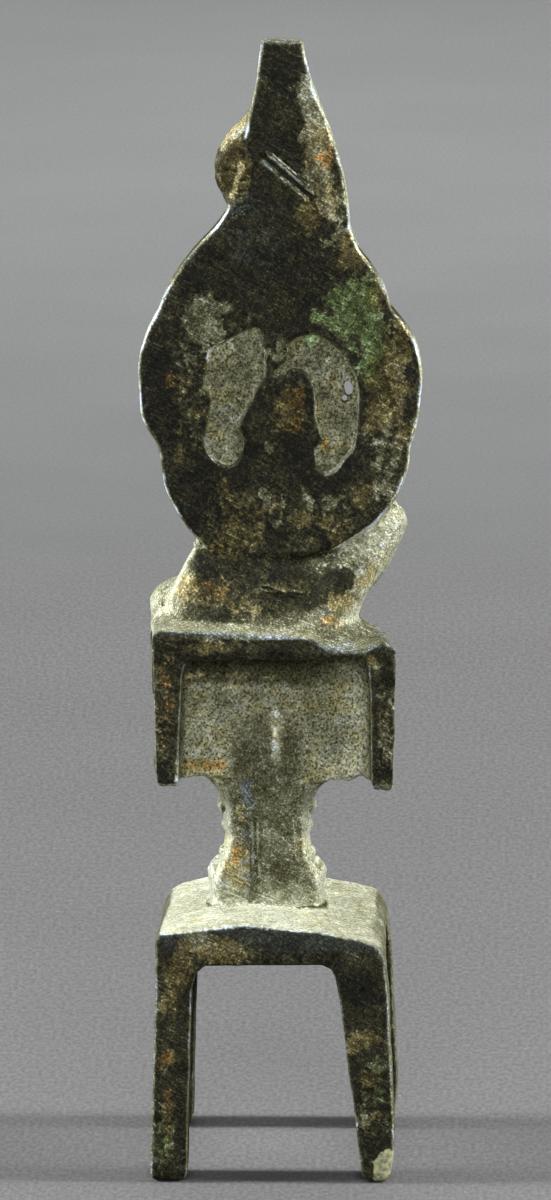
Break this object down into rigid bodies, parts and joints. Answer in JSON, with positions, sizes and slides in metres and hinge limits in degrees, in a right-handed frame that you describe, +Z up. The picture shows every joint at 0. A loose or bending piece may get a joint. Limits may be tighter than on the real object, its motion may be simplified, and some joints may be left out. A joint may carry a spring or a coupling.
{
  "type": "buddhist bronze altarpiece",
  "caption": "Small cast bronze altarpiece: a bodhisattva seated before a pointed mandorla, on a draped throne, lotus stem and four-legged stand.",
  "frame": {"origin": "middle of the four feet's outline, on the surface that the altarpiece stands on", "axes": "+Z up through the mandorla's tip, -Y the way the figure faces, +X to the figure's left"},
  "size_m": [0.0223, 0.0228, 0.09],
  "materials": {
    "bronze": "dark worn bronze patina with filed flats, green and rusty patches and pale deposits"
  },
  "bodies": {
    "root": {"altarpiece_casting": "bronze"}
  },
  "joints": []
}
